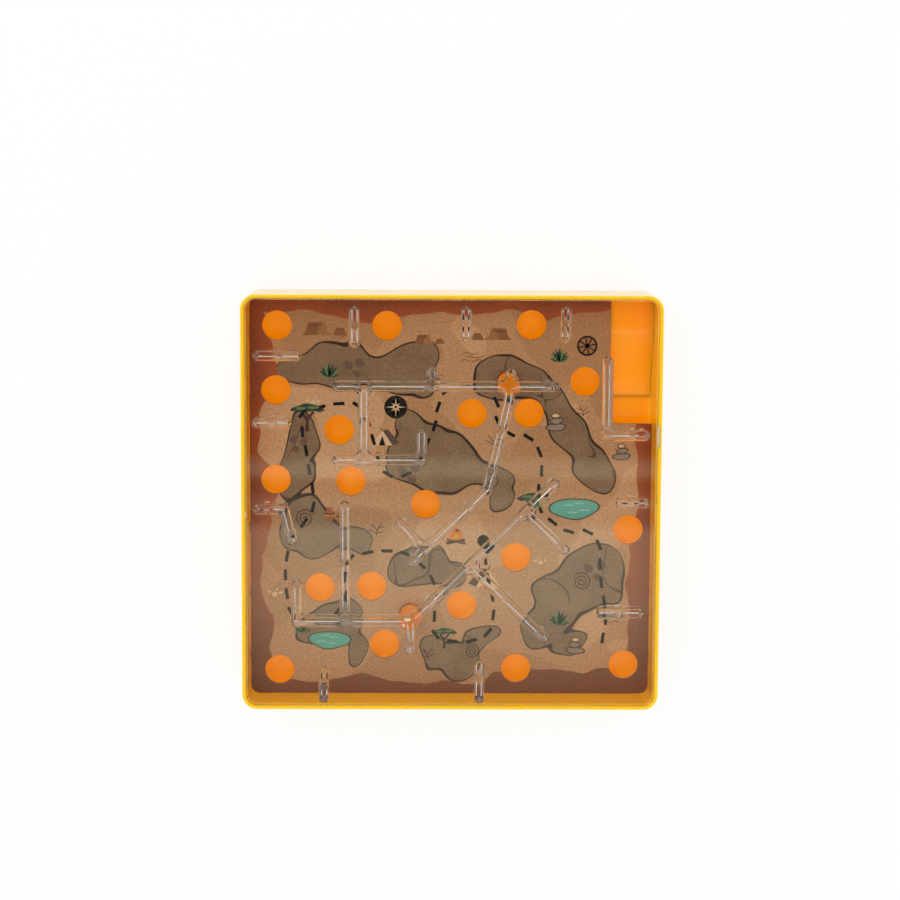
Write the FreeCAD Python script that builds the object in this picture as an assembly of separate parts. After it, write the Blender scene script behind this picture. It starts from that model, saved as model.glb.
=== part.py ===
import FreeCAD, Part
import math
import os

from FreeCAD import Vector

# Hand-held tilting maze: a moulded tray, a printed board with trap holes, a clear cover whose walls hang
# over the board, and a steel ball that falls through a hole and comes back up a ramp in one corner.
# Frame: millimetres, lying face up, +Z up, +Y towards the top of the picture, origin at the middle of the
# underside.

# Tray
case_width = 150.0
case_height = 30.0
case_corner = 5.4
case_draft = 0.5          # how much the underside is drawn in on each side
rim_wall = 1.3
ledge_width = 0.7         # step that the cover's edge rests on
floor_thickness = 1.6
rim_round = 0.4
base_round = 0.8

# Cover
cover_thickness = 2.0
cover_recess = 0.4        # cover's face below the rim
cover_gap = 0.2
cover_edge_bevel = 0.35
gate_length = 7.2         # trimmed moulding gate on the cover's right edge
gate_depth = 0.6
gate_height = 1.4
gate_clearance = 0.2

# Walls that hang from the cover
wall_clearance = 4.7      # from their free edge down to the board, too low for the ball
wall_root = 2.8           # thickness at the cover
wall_tip = 1.9            # thickness at the free edge
wall_fillet = 2.4
pin_pad_diameter = 3.0    # round pads where the mould's pins push the walls out

# Board
board_thickness = 1.5
board_gap = 0.2
trap_clearance = 2.7      # trap holes' diameter over the ball's
pocket_corner = 0.8

# Rests under the board
rest_thickness = 1.2
rest_depth = 1.8
rest_spacing = 24.0

# Return ramp
ramp_sheet = 1.6
ramp_step = 0.2           # the landing's face below the printed face
ramp_guide = 1.4          # wall between the ramp and the space under the board

# Posts that go through the board and carry the walls
post_diameter = 8.0
post_shoulder = 11.0
post_hole_gap = 0.2
post_core_diameter = 5.0    # hollow from below, as moulded
post_top_wall = 2.0

# Ball
ball_diameter = 8.0
ball_gap = 0.25
ball_headroom = 1.4       # free height over the ball in the space under the board

# Heights and widths that follow
cover_top = case_height - cover_recess
cover_under = cover_top - cover_thickness
board_under = floor_thickness + ball_diameter + ball_headroom
board_top = board_under + board_thickness
wall_end = board_top + wall_clearance
landing_top = board_top - ramp_step
seat_width = case_width - 2 * rim_wall
seat_corner = case_corner - rim_wall
inner_width = seat_width - 2 * ledge_width
inner_corner = seat_corner - ledge_width
inner_half = inner_width / 2
trap_diameter = ball_diameter + trap_clearance

# The maze's layout is given in percent of half the tray's inner width, from the middle
percent = inner_half / 100

pocket_left = 78.63 * percent       # corner cut-out over the return ramp
pocket_bottom = 37.26 * percent
ramp_foot = 49.32 * percent
ramp_crest = 84.93 * percent
gate_centre_y = 33.84 * percent
ball_start_y = -47.95 * percent

upper_post = (28.22, 58.08)
lower_post = (-19.73, -59.32)

trap_layout = [
    (-86.03, 85.62), (-31.78, 85.62), (39.59, 86.3), (66.3, 58.22), (-86.71, 53.56),
    (10.41, 42.05), (38.63, 42.33), (-55.48, 33.7), (-86.85, 8.77), (-49.59, 7.95),
    (-12.33, -3.56), (88.77, -16.16), (32.74, -30.27), (-65.07, -46.03), (-39.32, -45.21),
    (5.75, -54.79), (-32.74, -74.66), (-85.34, -87.81), (33.15, -86.99), (87.26, -84.93),
]

# Each wall piece: the runs that it is made of, as centre lines, and its pin pads
walls = {
    "wall_bridge": {
        "runs": [
            [(-55.62, upper_post[1]), (50.0, upper_post[1])],
            [(-9.59, upper_post[1]), (-9.59, 64.79)],
            [(28.63, upper_post[1]), (28.9, 64.93)],
            [(-42.88, upper_post[1]), (-42.88, 21.64)],
            [(-55.75, 21.64), (-14.52, 21.64)],
            [(-14.52, 21.64), (-14.52, 33.97)],
            [upper_post, (27.95, 50.55), (17.53, 6.58), (-19.18, -29.32)],
            [(-13.01, -23.29), (-24.66, -10.14)],
        ],
        "pads": [
            (-42.88, 57.53), (-9.59, 58.63), (47.4, 58.08), (-42.88, 22.19), (24.25, 35.07),
            (19.45, 14.79), (8.63, -2.19), (-12.74, -22.74), (-18.63, -28.77), (-24.11, -10.82),
        ],
    },
    "wall_fork": {
        "runs": [
            [(-75.75, -40.55), (-75.75, lower_post[1]), lower_post],
            [(-52.05, -1.37), (-52.05, lower_post[1])],
            [lower_post, (-19.73, -73.42)],
            [lower_post, (50.82, 10.0)],
            [(9.45, -30.68), (46.16, -66.99)],
            [(36.71, -3.97), (56.03, -22.47)],
        ],
        "pads": [
            (-75.75, -42.47), (-52.05, -58.9), (-52.05, -31.23), (-52.05, -2.19), (-19.73, -72.33),
            (-10.41, -50.27), (10.14, -31.1), (37.26, -4.38), (49.86, 9.04), (28.22, -49.32),
            (45.21, -66.03), (54.93, -21.37),
        ],
    },
    "wall_corner": {
        "runs": [[(76.16, 70.27), (76.16, 34.11), (94.52, 34.11)]],
        "pads": [(76.16, 69.04), (76.44, 34.52), (89.32, 34.11), (93.97, 34.11)],
    },
    "wall_top_left": {
        "runs": [[(-47.53, 94.25), (-47.53, 78.9)]],
        "pads": [(-47.53, 86.58)],
    },
    "wall_top_middle": {
        "runs": [[(6.99, 94.38), (6.99, 81.92)]],
        "pads": [(6.99, 88.08)],
    },
    "wall_top_right": {
        "runs": [[(55.48, 94.52), (55.48, 82.05)]],
        "pads": [(55.48, 88.22)],
    },
    "wall_left_upper": {
        "runs": [[(-94.11, 72.74), (-75.48, 72.74)]],
        "pads": [(-84.93, 72.74)],
    },
    "wall_left_middle": {
        "runs": [[(-94.93, 39.86), (-80.82, 39.86)]],
        "pads": [(-87.95, 39.86)],
    },
    "wall_left_hook": {
        "runs": [[(-94.66, -3.01), (-81.78, -3.01), (-78.08, -18.08)]],
        "pads": [(-90.96, -3.01), (-78.36, -16.99)],
    },
    "wall_right_middle": {
        "runs": [[(83.01, 0.55), (94.79, 0.55)]],
        "pads": [(88.9, 0.55)],
    },
    "wall_right_lower": {
        "runs": [[(74.25, -54.66), (92.88, -54.66)]],
        "pads": [(83.56, -54.66)],
    },
    "wall_bottom_left": {
        "runs": [[(-62.6, -85.34), (-62.6, -97.53)]],
        "pads": [(-62.6, -91.51)],
    },
    "wall_bottom_right": {
        "runs": [[(14.38, -81.51), (14.38, -97.53)]],
        "pads": [(14.38, -89.59)],
    },
}


def placed(point):
    """A point of the layout, in millimetres."""
    return (point[0] * percent, point[1] * percent)


trap_centres = [placed(p) for p in trap_layout]
posts = {
    "board_post_upper": placed(upper_post),
    "board_post_lower": placed(lower_post),
}


def rounded_square(width, corner, z):
    """Closed square outline with round corners, centred on the Z axis."""
    half = width / 2
    flat = half - corner
    bend = corner * math.sqrt(0.5)
    edges = []
    for quarter in range(4):
        turn = quarter * math.pi / 2

        def place(x, y):
            return Vector(
                x * math.cos(turn) - y * math.sin(turn), x * math.sin(turn) + y * math.cos(turn), z
            )

        edges.append(Part.LineSegment(place(half, -flat), place(half, flat)).toShape())
        edges.append(
            Part.Arc(place(half, flat), place(flat + bend, flat + bend), place(flat, half)).toShape()
        )
    return Part.Wire(edges)


def slab(width, corner, low, high):
    """Square block with round upright corners."""
    face = Part.Face(rounded_square(width, corner, low))
    return face.extrude(Vector(0, 0, high - low))


def box(x0, x1, y0, y1, z0, z1):
    return Part.makeBox(x1 - x0, y1 - y0, z1 - z0, Vector(x0, y0, z0))


def rod(centre, diameter, low, high):
    return Part.makeCylinder(diameter / 2, high - low, Vector(centre[0], centre[1], low))


def level_edges(shape, z):
    return [e for e in shape.Edges if abs(e.BoundBox.ZMin - z) < 1e-4 and abs(e.BoundBox.ZMax - z) < 1e-4]


def make_tray():
    """Drafted shell, open at the top, with the cover's seat and openings under the posts and the ramp."""
    foot = rounded_square(case_width - 2 * case_draft, case_corner - case_draft, 0)
    top = rounded_square(case_width, case_corner, case_height)
    shell = Part.makeLoft([foot, top], True, True)
    shell = shell.makeFillet(base_round, level_edges(shell, 0))
    shell = shell.makeFillet(rim_round, level_edges(shell, case_height))
    shell = shell.cut(slab(inner_width, inner_corner, floor_thickness, case_height + 1))
    shell = shell.cut(slab(seat_width, seat_corner, cover_under, case_height + 1))
    notch = gate_length / 2 + gate_clearance
    shell = shell.cut(
        box(
            0, seat_width / 2 + gate_depth + gate_clearance,
            gate_centre_y - notch, gate_centre_y + notch,
            cover_under, case_height + 1,
        )
    )
    for centre in posts.values():
        shell = shell.cut(rod(centre, post_core_diameter, -1, floor_thickness + 1))
    return shell.cut(
        box(pocket_left - ramp_guide, inner_half, ramp_foot, inner_half, -1, floor_thickness + 1)
        .common(slab(inner_width, inner_corner, -1, floor_thickness + 1))
    )


def ramp_line(offset):
    """Ramp's section from its foot to the landing, moved down by offset."""
    rise = landing_top - floor_thickness
    run = ramp_crest - ramp_foot
    low = floor_thickness - offset
    points = [
        Vector(0, ramp_foot, low),
        Vector(0, ramp_foot + run / 3, low),
        Vector(0, ramp_foot + run * 2 / 3, low + rise),
        Vector(0, ramp_crest, low + rise),
    ]
    curve = Part.BezierCurve()
    curve.setPoles(points)
    return curve.toShape(), points[0], points[-1]


def make_ramp():
    """Curved sheet from the floor up to a landing beside the board, with a guide wall on its left."""
    upper, upper_foot, upper_crest = ramp_line(0)
    lower, lower_foot, lower_crest = ramp_line(ramp_sheet)
    far = Vector(0, inner_half, 0)
    upper_end = Vector(0, far.y, upper_crest.z)
    lower_end = Vector(0, far.y, lower_crest.z)
    outline = Part.Wire(
        Part.__sortEdges__([
            upper,
            Part.LineSegment(upper_crest, upper_end).toShape(),
            Part.LineSegment(upper_end, lower_end).toShape(),
            Part.LineSegment(lower_end, lower_crest).toShape(),
            lower,
            Part.LineSegment(lower_foot, upper_foot).toShape(),
        ])
    )
    left = pocket_left - ramp_guide
    sheet = Part.Face(outline).extrude(Vector(inner_half - left, 0, 0))
    sheet.translate(Vector(left, 0, 0))
    guide = box(left, pocket_left, ramp_foot, inner_half, 0, board_under)
    above_guide = box(left, pocket_left, ramp_foot, inner_half, board_under, case_height)
    ramp = sheet.fuse(guide).cut(above_guide).removeSplitter()
    return ramp.common(slab(inner_width, inner_corner, 0, case_height))


def make_post(centre):
    """Stepped post: a shoulder under the board and a neck through it, hollow from below."""
    post = rod(centre, post_shoulder, floor_thickness, board_under)
    post = post.fuse(rod(centre, post_diameter, board_under, wall_end)).removeSplitter()
    return post.cut(rod(centre, post_core_diameter, floor_thickness, wall_end - post_top_wall))


def make_rests():
    """Upright ribs along the tray's walls that carry the board's edge."""
    half = rest_thickness / 2
    reach = int((inner_half - inner_corner) / rest_spacing + 0.5)
    places = [(n + 0.5) * rest_spacing for n in range(-reach, reach)]
    pocket_side = pocket_left - ramp_guide - rest_thickness
    rests = []
    for p in places:
        rests.append(box(-inner_half, -inner_half + rest_depth, p - half, p + half, floor_thickness, board_under))
        rests.append(box(p - half, p + half, -inner_half, -inner_half + rest_depth, floor_thickness, board_under))
        if p < pocket_bottom - rest_thickness:
            rests.append(
                box(inner_half - rest_depth, inner_half, p - half, p + half, floor_thickness, board_under)
            )
        if p < pocket_side:
            rests.append(
                box(p - half, p + half, inner_half - rest_depth, inner_half, floor_thickness, board_under)
            )
    return Part.makeCompound(rests)


def make_board():
    """Printed board with its trap holes, post holes and the corner cut-out over the ramp."""
    board = slab(inner_width - 2 * board_gap, inner_corner - board_gap, board_under, board_top)
    cut = box(pocket_left, case_width, pocket_bottom, case_width, board_under - 1, board_top + 1)
    inner_edge = [
        e for e in cut.Edges
        if abs(e.BoundBox.XMax - pocket_left) < 1e-4 and abs(e.BoundBox.YMax - pocket_bottom) < 1e-4
    ]
    board = board.cut(cut.makeFillet(pocket_corner, inner_edge))
    for centre in trap_centres:
        board = board.cut(rod(centre, trap_diameter, board_under - 1, board_top + 1))
    for centre in posts.values():
        board = board.cut(rod(centre, post_diameter + 2 * post_hole_gap, board_under - 1, board_top + 1))
    return board


def make_cover():
    """Flat clear plate with a bevelled edge and the stub of its moulding gate."""
    width = seat_width - 2 * cover_gap
    plate = slab(width, seat_corner - cover_gap, cover_under, cover_top)
    plate = plate.makeChamfer(cover_edge_bevel, level_edges(plate, cover_top))
    stub = box(
        0, seat_width / 2 + gate_depth, gate_centre_y - gate_length / 2, gate_centre_y + gate_length / 2,
        cover_under, cover_under + gate_height,
    )
    return plate.fuse(stub).removeSplitter()


def stadium(start, end, radius, z):
    """Outline of a straight wall with round ends."""
    along = Vector(end[0] - start[0], end[1] - start[1], 0).normalize()
    side = Vector(-along.y, along.x, 0) * radius
    a = Vector(start[0], start[1], z)
    b = Vector(end[0], end[1], z)
    return Part.Wire([
        Part.LineSegment(a - side, b - side).toShape(),
        Part.Arc(b - side, b + along * radius, b + side).toShape(),
        Part.LineSegment(b + side, a + side).toShape(),
        Part.Arc(a + side, a - along * radius, a - side).toShape(),
    ])


def straight_wall(start, end):
    tip = stadium(start, end, wall_tip / 2, wall_end)
    root = stadium(start, end, wall_root / 2, cover_under)
    return Part.makeLoft([tip, root], True, True)


def inner_corners(solid):
    """Upright edges where two walls meet at an inner corner."""
    probe = 0.05
    found = []
    for edge in solid.Edges:
        if edge.BoundBox.ZLength < (cover_under - wall_end) * 0.9:
            continue
        middle = edge.valueAt((edge.FirstParameter + edge.LastParameter) / 2)
        ring = [
            middle + Vector(math.cos(n * math.pi / 8), math.sin(n * math.pi / 8), 0) * probe
            for n in range(16)
        ]
        if sum(solid.isInside(p, 1e-6, False) for p in ring) > 9:
            found.append(edge)
    return found


def make_wall(spec):
    """One connected wall of the maze, with its inner corners filled and its pin pads."""
    pieces = []
    for run in spec["runs"]:
        points = [placed(p) for p in run]
        for start, end in zip(points, points[1:]):
            pieces.append(straight_wall(start, end))
    wall = pieces[0].fuse(pieces[1:]).removeSplitter() if len(pieces) > 1 else pieces[0]
    corners = inner_corners(wall)
    if corners:
        wall = wall.makeFillet(wall_fillet, corners)
    wall = wall.fuse([rod(placed(p), pin_pad_diameter, wall_end, cover_under) for p in spec["pads"]])
    return wall.removeSplitter()


def make_ball():
    lane = (pocket_left + inner_half) / 2
    centre = Vector(lane, ball_start_y, floor_thickness + ball_gap + ball_diameter / 2)
    return Part.makeSphere(ball_diameter / 2, centre)


def main():
    os.makedirs("parts", exist_ok=True)
    nodes = {
        "tray": make_tray(),
        "return_ramp": make_ramp(),
        "board_rests": make_rests(),
        "playfield_board": make_board(),
        "cover_plate": make_cover(),
        "steel_ball": make_ball(),
    }
    for name, centre in posts.items():
        nodes[name] = make_post(centre)
    for name, spec in walls.items():
        nodes[name] = make_wall(spec)
    for name, shape in nodes.items():
        if not shape.isValid():
            print("not valid:", name)
        shape.exportStep("parts/" + name + ".step")
        print(name, "solids", len(shape.Solids), "volume", round(shape.Volume, 1))


main()
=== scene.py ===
import math
import random

import bmesh
import bpy
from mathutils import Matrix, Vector


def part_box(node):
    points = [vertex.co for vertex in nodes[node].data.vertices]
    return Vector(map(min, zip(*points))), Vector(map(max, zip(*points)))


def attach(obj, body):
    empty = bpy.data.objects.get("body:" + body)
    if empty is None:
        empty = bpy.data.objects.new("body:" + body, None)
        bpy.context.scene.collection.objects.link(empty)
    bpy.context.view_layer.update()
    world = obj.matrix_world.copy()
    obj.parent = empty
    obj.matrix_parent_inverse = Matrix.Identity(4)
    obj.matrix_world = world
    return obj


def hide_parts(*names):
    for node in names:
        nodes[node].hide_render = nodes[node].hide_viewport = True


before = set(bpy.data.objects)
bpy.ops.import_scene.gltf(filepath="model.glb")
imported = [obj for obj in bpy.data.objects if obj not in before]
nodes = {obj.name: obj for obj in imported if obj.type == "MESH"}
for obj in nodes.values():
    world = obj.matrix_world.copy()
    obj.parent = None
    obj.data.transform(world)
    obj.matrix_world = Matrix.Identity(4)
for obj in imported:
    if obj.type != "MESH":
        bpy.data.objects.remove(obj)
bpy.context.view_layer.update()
mm = 0.001

print("frame loaded:", len(nodes), "nodes")

# Places on the board in millimetres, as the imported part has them
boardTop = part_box("playfield_board")[1].z / mm
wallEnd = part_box("wall_bridge")[0].z / mm
wallNames = sorted(name for name in nodes if name.startswith("wall_"))


def linear(hexColour):
    values = [int(hexColour[i:i + 2], 16) / 255 for i in (1, 3, 5)]
    return tuple(v / 12.92 if v <= 0.04045 else ((v + 0.055) / 1.055) ** 2.4 for v in values) + (1.0,)


def addNode(tree, kind, links=None, **settings):
    # links: input name or number -> a value, or the output that feeds it
    item = tree.nodes.new(kind)
    for name, value in settings.items():
        setattr(item, name, value)
    for name, value in (links or {}).items():
        if isinstance(value, bpy.types.NodeSocket):
            tree.links.new(value, item.inputs[name])
        else:
            item.inputs[name].default_value = value
    return item


def newMaterial(name):
    material = bpy.data.materials.new(name)
    material.use_nodes = True
    material.node_tree.nodes.clear()
    return material, material.node_tree


def finishMaterial(tree, shader):
    addNode(tree, "ShaderNodeOutputMaterial", {"Surface": shader})


def setMaterial(item, *materials):
    item.data.materials.clear()
    for material in materials:
        item.data.materials.append(material)


def newPiece(name, mesh, body):
    piece = bpy.data.objects.new(name, mesh)
    bpy.context.scene.collection.objects.link(piece)
    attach(piece, body)
    return piece


# camera
view = {
    "lens": 104.0,          # on a 36 mm sensor
    "place": (-12.515, 152.041, 946.043),
    "tilt": -0.143365,
    "pan": -0.0129514,
    "roll": 0.00344053,
}
cameraData = bpy.data.cameras.new("camera")
cameraData.lens = view["lens"]
cameraData.sensor_width = 36
camera = bpy.data.objects.new("camera", cameraData)
bpy.context.scene.collection.objects.link(camera)
camera.location = Vector(view["place"]) * mm
camera.rotation_mode = "ZYX"
camera.rotation_euler = (view["tilt"], view["pan"], view["roll"])
bpy.context.scene.camera = camera
print("camera placed")

# studio
studio = {
    "tent": 0.74,            # light from the white tent all round
    "horizon": (1.15, 0.45),   # its lowest part, as light and as it shows in gloss
    "roof": 1.95,            # its roof, round the opening overhead
    "opening": 0.0,          # the dark opening that the camera looks through
    "flap": 0.65,            # the tent's front flap beside that opening
    "strip": 0.62,           # the pale strip at the opening's edge
    "panel": 1.5,            # the opal panel that the object lies on
    "keyPower": 2.0,
    "openingAside": 0.0125,            # how far the opening's middle lies to the side
    "openingEdge": (0.105, 0.125),     # where it ends to the side, as lean
    "overheadEnds": (0.93, 0.86),      # height of a direction, 1 is straight up, where the roof turns into the tent
    "horizonStarts": (0.45, 0.25),
    "levelBelow": 0.2,                 # below this height the backdrop is white through the cover too
}
leanSpan = 0.28      # the ramp of the opening covers forward leans from 0 to this


def makeWorld():
    world = bpy.data.worlds.new("lightTent")
    bpy.context.scene.world = world
    world.use_nodes = True
    tree = world.node_tree
    tree.nodes.clear()
    ray = addNode(tree, "ShaderNodeTexCoord").outputs["Generated"]
    part = addNode(tree, "ShaderNodeSeparateXYZ", {"Vector": ray})
    up = addNode(tree, "ShaderNodeMath", {0: part.outputs["Z"], 1: 0.001}, operation="MAXIMUM").outputs[0]
    # how far the direction leans forwards and sideways: 0 is straight up
    forward = addNode(tree, "ShaderNodeMath", {0: part.outputs["Y"], 1: up}, operation="DIVIDE").outputs[0]
    sideways = addNode(tree, "ShaderNodeMath", {0: part.outputs["X"], 1: up}, operation="DIVIDE").outputs[0]
    lean = addNode(tree, "ShaderNodeMapRange", {
        "Value": forward, "From Min": 0.0, "From Max": -leanSpan, "To Min": 0.0, "To Max": 1.0}).outputs[0]
    ramp = addNode(tree, "ShaderNodeValToRGB", {"Fac": lean})
    tent, roof, flap = studio["tent"], studio["roof"], studio["flap"]
    stops = [  # forward lean, light
        (0.000, roof), (0.050, roof), (0.066, studio["opening"]), (0.1455, studio["opening"]),
        (0.1505, studio["strip"]), (0.1535, studio["strip"]), (0.157, 0.04), (0.161, 0.08),
        (0.1645, 0.28), (0.1665, 0.27), (0.1695, 0.07), (0.1725, 0.14), (0.1765, flap),
        (0.205, flap), (0.222, 0.36), (0.236, 0.14), (0.250, 0.10), (0.262, roof), (0.28, roof),
    ]
    for number, (at, light) in enumerate(stops):
        if number < 2:
            element = ramp.color_ramp.elements[number]
            element.position = at / leanSpan
        else:
            element = ramp.color_ramp.elements.new(at / leanSpan)
        tint = (1, 0.96, 0.90) if light == roof else (1, 0.94, 0.66)
        element.color = (*(light * t for t in tint), 1)
    aside = addNode(tree, "ShaderNodeMath", {0: sideways, 1: studio["openingAside"]}, operation="SUBTRACT").outputs[0]
    aside = addNode(tree, "ShaderNodeMath", {0: aside}, operation="ABSOLUTE").outputs[0]
    aside = addNode(tree, "ShaderNodeMapRange", {
        "Value": aside, "From Min": studio["openingEdge"][0], "From Max": studio["openingEdge"][1]}).outputs[0]
    overhead = addNode(tree, "ShaderNodeMix", {
        "Factor": aside, "A": ramp.outputs["Color"], "B": (roof, roof * 0.96, roof * 0.90, 1)},
        data_type="RGBA").outputs["Result"]
    low = addNode(tree, "ShaderNodeMapRange", {
        "Value": part.outputs["Z"],
        "From Min": studio["overheadEnds"][0], "From Max": studio["overheadEnds"][1]}).outputs[0]
    cloth = addNode(tree, "ShaderNodeMix", {
        "Factor": low, "A": overhead, "B": (tent, tent, tent, 1)}, data_type="RGBA").outputs["Result"]
    lowest = addNode(tree, "ShaderNodeMapRange", {
        "Value": part.outputs["Z"],
        "From Min": studio["horizonStarts"][0], "From Max": studio["horizonStarts"][1]}).outputs[0]
    path = addNode(tree, "ShaderNodeLightPath")
    shade = addNode(tree, "ShaderNodeMapRange", {
        "Value": path.outputs["Is Glossy Ray"], "To Min": studio["horizon"][0], "To Max": studio["horizon"][1]})
    cloth = addNode(tree, "ShaderNodeMix", {
        "Factor": lowest, "A": cloth, "B": shade.outputs[0]}, data_type="RGBA").outputs["Result"]
    # plain white where the camera sees it, also through the clear cover
    level = addNode(tree, "ShaderNodeMath", {
        0: part.outputs["Z"], 1: studio["levelBelow"]}, operation="LESS_THAN").outputs[0]
    through = addNode(tree, "ShaderNodeMath", {
        0: path.outputs["Is Transmission Ray"], 1: level}, operation="MULTIPLY").outputs[0]
    seen = addNode(tree, "ShaderNodeMath", {
        0: path.outputs["Is Camera Ray"], 1: through}, operation="MAXIMUM").outputs[0]
    colour = addNode(tree, "ShaderNodeMix", {"Factor": seen, "A": cloth, "B": (1, 1, 1, 1)}, data_type="RGBA")
    back = addNode(tree, "ShaderNodeBackground", {"Color": colour.outputs["Result"], "Strength": 1.0})
    addNode(tree, "ShaderNodeOutputWorld", {"Surface": back.outputs[0]})


def makeFloor():
    # opal acrylic panel, lit from below: it keeps a faint shadow and is otherwise as pale as the backdrop
    material, tree = newMaterial("opalAcrylicPanel")
    path = addNode(tree, "ShaderNodeLightPath")
    white = addNode(tree, "ShaderNodeBsdfDiffuse", {"Color": linear("#F6F6F6")})
    plain = addNode(tree, "ShaderNodeEmission", {"Color": (1, 1, 1, 1), "Strength": 1.0})
    seen = addNode(tree, "ShaderNodeMixShader", {0: 0.86, 1: white.outputs[0], 2: plain.outputs[0]})
    dull = addNode(tree, "ShaderNodeBsdfDiffuse", {"Color": (0.12, 0.12, 0.12, 1)})
    glow = addNode(tree, "ShaderNodeEmission", {"Color": (1, 1, 1, 1), "Strength": studio["panel"]})
    lights = addNode(tree, "ShaderNodeAddShader", {0: dull.outputs[0], 1: glow.outputs[0]})
    looked = addNode(tree, "ShaderNodeMath", {
        0: path.outputs["Is Camera Ray"], 1: path.outputs["Is Glossy Ray"]}, operation="MAXIMUM")
    mix = addNode(tree, "ShaderNodeMixShader", {
        0: looked.outputs[0], 1: lights.outputs[0], 2: seen.outputs[0]})
    finishMaterial(tree, mix.outputs[0])
    bm = bmesh.new()
    bmesh.ops.create_grid(bm, x_segments=1, y_segments=1, size=3.0)
    mesh = bpy.data.meshes.new("floor")
    bm.to_mesh(mesh)
    bm.free()
    floor = bpy.data.objects.new("floor", mesh)
    bpy.context.scene.collection.objects.link(floor)
    floor.location.z = -0.0003
    setMaterial(floor, material)


def makeKeyLight():
    data = bpy.data.lights.new("softbox", "AREA")
    data.shape = "RECTANGLE"
    data.size, data.size_y = 0.5, 0.35
    data.energy = studio["keyPower"]
    lamp = bpy.data.objects.new("softbox", data)
    bpy.context.scene.collection.objects.link(lamp)
    lamp.location = (-0.55, 0.75, 1.15)
    lamp.rotation_euler = (-lamp.location).to_track_quat("-Z", "Y").to_euler()


makeWorld()
makeFloor()
makeKeyLight()
scene = bpy.context.scene
scene.view_settings.view_transform = "Standard"
print("studio lit")

# tray, ramp, rests and posts: one yellow-orange moulding
trayLook = {
    "inside": "#FFA00A",      # painted shade: deep colour, where the light has gone back and forth between the walls
    "posts": "#FF7A0A",
    "wall": "#FFB61A",        # painted glow: side walls, thin and lit from outside
    "rim": "#E4AE1C",         # painted glow: thin rim and outer skin, paler because light comes through it
    "roughness": 0.11,
    "grainHeight": 0.002,     # mm
    "core": 69.6,             # mm from the middle to where the corners' rounding starts
    "paintedGlowBand": (2.4, 4.5),       # mm past that core, from the inner colour to the rim's painted glow
    "lightReach": (10.0, 5.5, 0.5),    # mm that red, green and blue light travel inside the plastic
}


def makeTrayPlastic(name, inside):
    # injection-moulded polystyrene with a translucent dye: glossy, and light from its outside glows through it
    material, tree = newMaterial(name)
    # painted glow and shade: the colour runs from a deep orange inside, painted for light bounced between the walls,
    # to a paler yellow on the rim, outer skin and underside, painted for light coming through the thin plastic
    place = addNode(tree, "ShaderNodeTexCoord").outputs["Object"]
    size = addNode(tree, "ShaderNodeVectorMath", {0: place, "Scale": 1000.0}, operation="SCALE").outputs[0]
    plain = addNode(tree, "ShaderNodeVectorMath", {0: size}, operation="ABSOLUTE").outputs[0]
    corner = addNode(tree, "ShaderNodeVectorMath", {
        0: plain, 1: (trayLook["core"], trayLook["core"], 1000)}, operation="SUBTRACT").outputs[0]
    beyond = addNode(tree, "ShaderNodeVectorMath", {0: corner, 1: (0, 0, 0)}, operation="MAXIMUM").outputs[0]
    reach = addNode(tree, "ShaderNodeVectorMath", {0: beyond}, operation="LENGTH").outputs["Value"]
    paintedGlowBand = addNode(tree, "ShaderNodeMapRange", {
        "Value": reach, "From Min": trayLook["paintedGlowBand"][0], "From Max": trayLook["paintedGlowBand"][1]}).outputs[0]
    height = addNode(tree, "ShaderNodeSeparateXYZ", {"Vector": size}).outputs["Z"]
    # painted glow on the underside, which lies on the lit panel
    paintedUnderGlow = addNode(tree, "ShaderNodeMapRange", {"Value": height, "From Min": 1.2, "From Max": 0.6}).outputs[0]
    outer = addNode(tree, "ShaderNodeMath", {0: paintedGlowBand, 1: paintedUnderGlow}, operation="MAXIMUM").outputs[0]
    cloud = addNode(tree, "ShaderNodeTexNoise", {"Vector": size, "Scale": 0.035, "Detail": 2.0, "Roughness": 0.5})
    drift = addNode(tree, "ShaderNodeMapRange", {
        "Value": cloud.outputs["Fac"], "From Min": 0.3, "From Max": 0.7, "To Min": -0.05, "To Max": 0.05}).outputs[0]
    share = addNode(tree, "ShaderNodeMath", {0: outer, 1: drift}, operation="ADD", use_clamp=True).outputs[0]
    # colour ramp: painted deep inside at 0, painted wall glow at 0.45, painted rim glow at 1
    colour = addNode(tree, "ShaderNodeValToRGB", {"Fac": share})
    colour.color_ramp.elements[0].color = linear(inside)
    colour.color_ramp.elements[1].color = linear(trayLook["rim"])
    colour.color_ramp.elements.new(0.45).color = linear(trayLook["wall"])
    grain = addNode(tree, "ShaderNodeTexNoise", {"Vector": size, "Scale": 1.1, "Detail": 2.0, "Roughness": 0.5})
    rough = addNode(tree, "ShaderNodeMapRange", {
        "Value": grain.outputs["Fac"], "From Min": 0.3, "From Max": 0.7,
        "To Min": trayLook["roughness"] - 0.02, "To Max": trayLook["roughness"] + 0.03})
    bump = addNode(tree, "ShaderNodeBump", {
        "Height": grain.outputs["Fac"], "Strength": 0.3, "Distance": trayLook["grainHeight"] * mm})
    shader = addNode(tree, "ShaderNodeBsdfPrincipled", {
        "Base Color": colour.outputs["Color"], "Roughness": rough.outputs[0], "Normal": bump.outputs[0],
        "IOR": 1.55, "Specular IOR Level": 0.4, "Subsurface Weight": 1.0, "Subsurface Radius": trayLook["lightReach"],
        "Subsurface Scale": 1.0 * mm})
    finishMaterial(tree, shader.outputs[0])
    return material


def mergedCopy(name):
    bm = bmesh.new()
    bm.from_mesh(nodes[name].data)
    bmesh.ops.remove_doubles(bm, verts=bm.verts, dist=2e-6)
    return bm


def meshObject(name, bm):
    mesh = bpy.data.meshes.new(name)
    bm.to_mesh(mesh)
    bm.free()
    item = bpy.data.objects.new(name, mesh)
    bpy.context.scene.collection.objects.link(item)
    return item


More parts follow.
